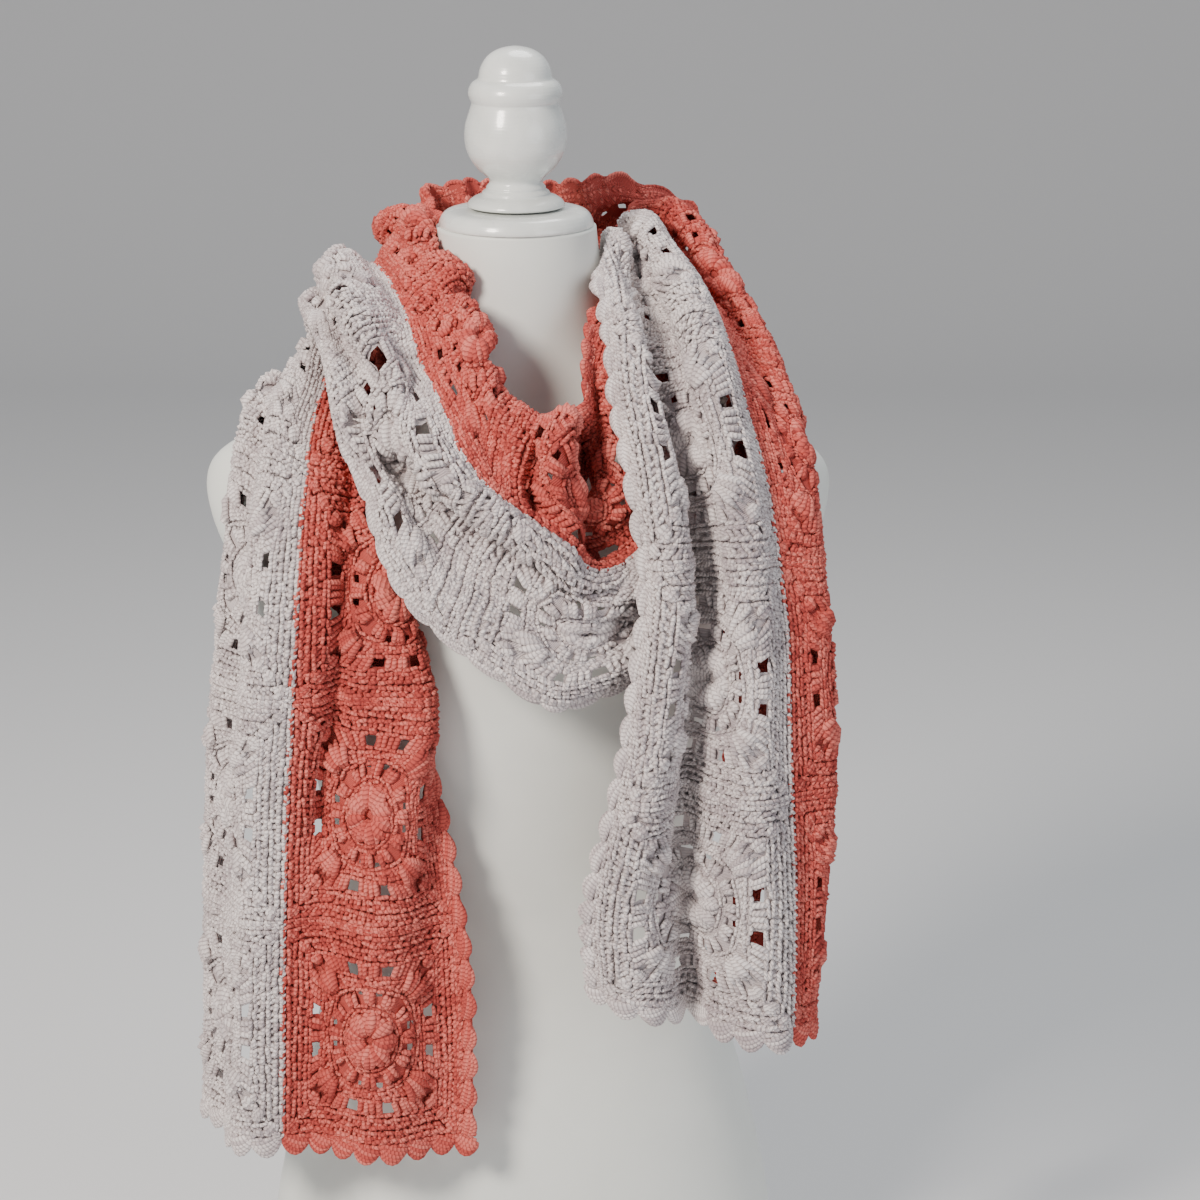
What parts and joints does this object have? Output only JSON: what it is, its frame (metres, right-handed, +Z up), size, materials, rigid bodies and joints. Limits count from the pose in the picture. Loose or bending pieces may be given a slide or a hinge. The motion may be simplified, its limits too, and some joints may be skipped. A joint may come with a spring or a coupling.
{
  "type": "crochet scarf on a limbless dress form",
  "caption": "Long crocheted scarf of pale and coral flower squares with a braided edge, wound round the neck of a smooth limbless dress form with a turned cap and finial.",
  "frame": {"origin": "on the floor under the middle of the dress form's neck, at the centre of the form's flat underside", "axes": "+Z up along the form's neck; -Y out of the form's front, towards the viewer of the picture; +X to that viewer's right"},
  "size_m": [0.3864, 0.3073, 0.815],
  "materials": {
    "pale_yarn": "soft worsted yarn, crocheted, warm pale grey with a lilac tint",
    "coral_yarn": "soft worsted yarn, crocheted, coral red",
    "painted_wood": "turned and painted glossy off-white",
    "form_cover": "smooth satin off-white"
  },
  "bodies": {
    "root": {"form_torso": "form_cover", "form_cap": "painted_wood", "form_finial": "painted_wood", "tail_left_pale": "pale_yarn", "tail_left_pale_braid": "pale_yarn", "tail_left_pale_hem": "pale_yarn", "tail_left_coral": "coral_yarn", "tail_left_coral_braid": "coral_yarn", "tail_left_coral_hem": "coral_yarn", "back_under_pale": "pale_yarn", "back_under_pale_braid": "pale_yarn", "back_under_coral": "coral_yarn", "back_under_coral_braid": "coral_yarn", "loop_pale": "pale_yarn", "loop_pale_braid": "pale_yarn", "loop_coral": "coral_yarn", "loop_coral_braid": "coral_yarn", "back_over_pale": "pale_yarn", "back_over_pale_braid": "pale_yarn", "back_over_coral": "coral_yarn", "back_over_coral_braid": "coral_yarn", "tail_right_pale": "pale_yarn", "tail_right_pale_braid": "pale_yarn", "tail_right_pale_hem": "pale_yarn", "tail_right_coral": "coral_yarn", "tail_right_coral_braid": "coral_yarn", "tail_right_coral_hem": "coral_yarn"}
  },
  "joints": []
}
